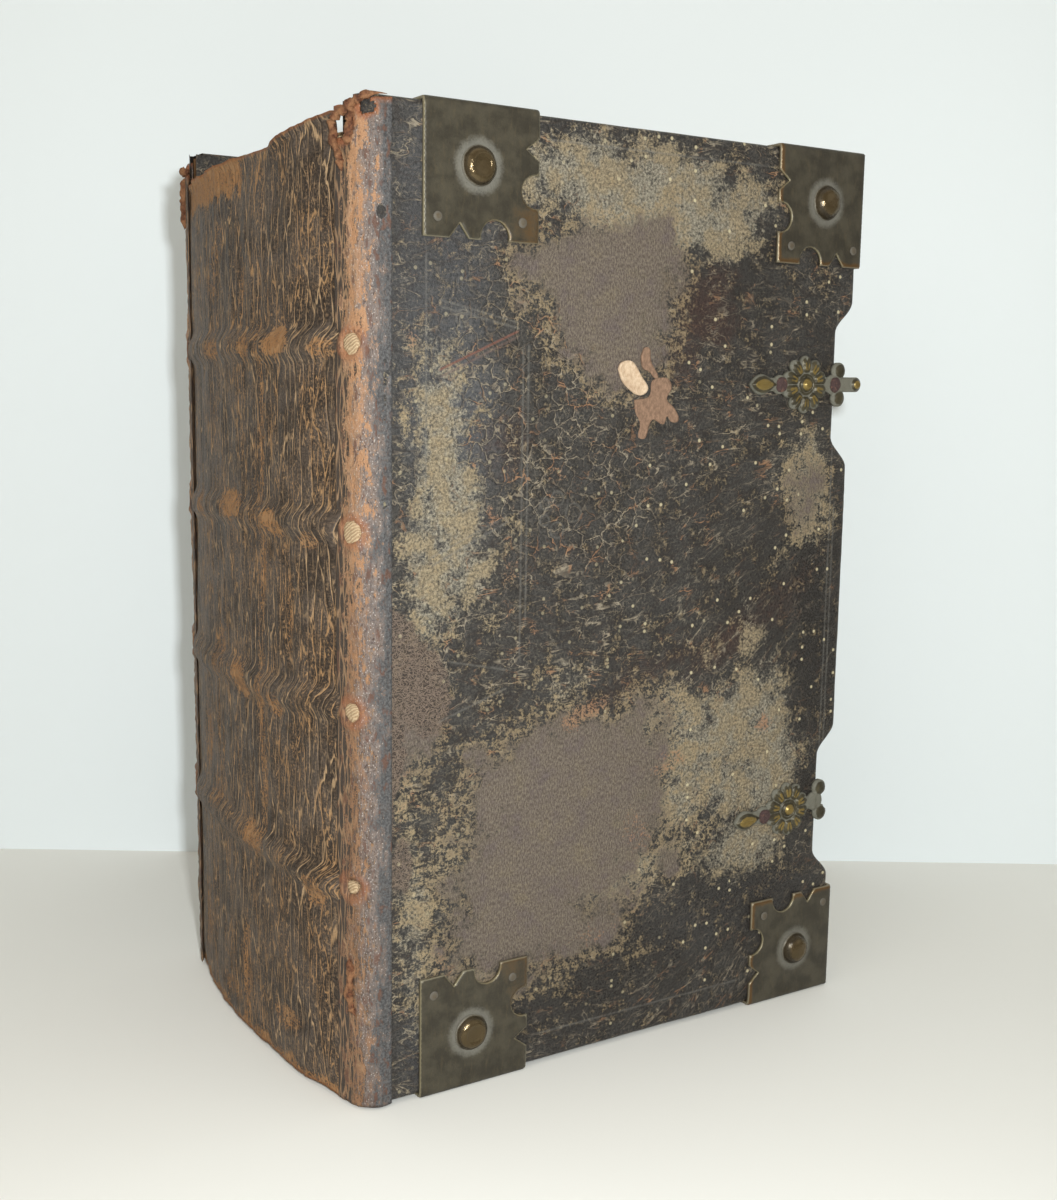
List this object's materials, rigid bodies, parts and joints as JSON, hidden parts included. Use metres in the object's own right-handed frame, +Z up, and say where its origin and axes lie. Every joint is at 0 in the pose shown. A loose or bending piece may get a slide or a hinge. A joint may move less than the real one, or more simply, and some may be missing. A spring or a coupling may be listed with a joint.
{
  "type": "antique leather book",
  "caption": "Thick hand-bound book in cracked dark leather over wooden boards, with notched brass corner plates, domed bosses, clasp catches and a rounded back with raised bands.",
  "frame": {"origin": "middle of the bounding box's bottom face, on the ground under the standing book", "axes": "+Z up from tail to head, -Y out of the front cover, -X out of the spine, +X out of the fore-edge"},
  "size_m": [0.1359, 0.104, 0.2],
  "materials": {
    "page_edges": "matt, browned and dusty leaf edges",
    "spine_leather": "dry, finely cracked, rubbed to tan",
    "cover_leather": "dark, polished by handling, cracked and partly peeled",
    "endband": "worn linen thread",
    "cord": "frayed hemp cord",
    "board_wood": "old planed wood",
    "pastedown": "browned laid paper",
    "corner_brass": "dark tarnish, rubbed bright on the edges",
    "boss_brass": "dark tarnish, worn bright on top",
    "nail_brass": "dull tarnish",
    "clasp_brass": "cast, tarnished, pale dust in the relief",
    "rivet_iron": "corroded, dark purple brown"
  },
  "bodies": {
    "book_block": {"text_block": "page_edges", "spine_leather": "spine_leather", "sewing_cord_1": "cord", "sewing_cord_2": "cord", "sewing_cord_3": "cord", "sewing_cord_4": "cord", "head_band": "endband", "tail_band": "endband"},
    "front_cover": {"front_board": "board_wood", "front_leather": "cover_leather", "front_pastedown": "pastedown", "front_cord_slips": "cord", "front_plate_head_spine": "corner_brass", "front_plate_head_fore": "corner_brass", "front_plate_tail_fore": "corner_brass", "front_plate_tail_spine": "corner_brass", "front_boss_head_spine": "boss_brass", "front_boss_head_fore": "boss_brass", "front_boss_tail_fore": "boss_brass", "front_boss_tail_spine": "boss_brass", "front_corner_nails": "nail_brass", "front_catch_upper": "clasp_brass", "front_catch_lower": "clasp_brass", "front_catch_rivets": "rivet_iron"},
    "back_cover": {"back_board": "board_wood", "back_leather": "cover_leather", "back_pastedown": "pastedown", "back_cord_slips": "cord", "back_plate_head_spine": "corner_brass", "back_plate_head_fore": "corner_brass", "back_plate_tail_fore": "corner_brass", "back_plate_tail_spine": "corner_brass", "back_boss_head_spine": "boss_brass", "back_boss_head_fore": "boss_brass", "back_boss_tail_fore": "boss_brass", "back_boss_tail_spine": "boss_brass", "back_corner_nails": "nail_brass", "back_clasp_plate_upper": "clasp_brass", "back_clasp_plate_lower": "clasp_brass", "back_clasp_nails": "nail_brass"}
  },
  "joints": [
    {"name": "front_cover_hinge", "type": "hinge", "parent": "book_block", "child": "front_cover", "pos_m": [-0.06095, -0.0442, 0.1], "axis": [0, 0, -1], "range_deg": [0, 160]},
    {"name": "back_cover_hinge", "type": "hinge", "parent": "book_block", "child": "back_cover", "pos_m": [-0.06095, 0.0442, 0.1], "axis": [0, 0, 1], "range_deg": [0, 160]}
  ]
}
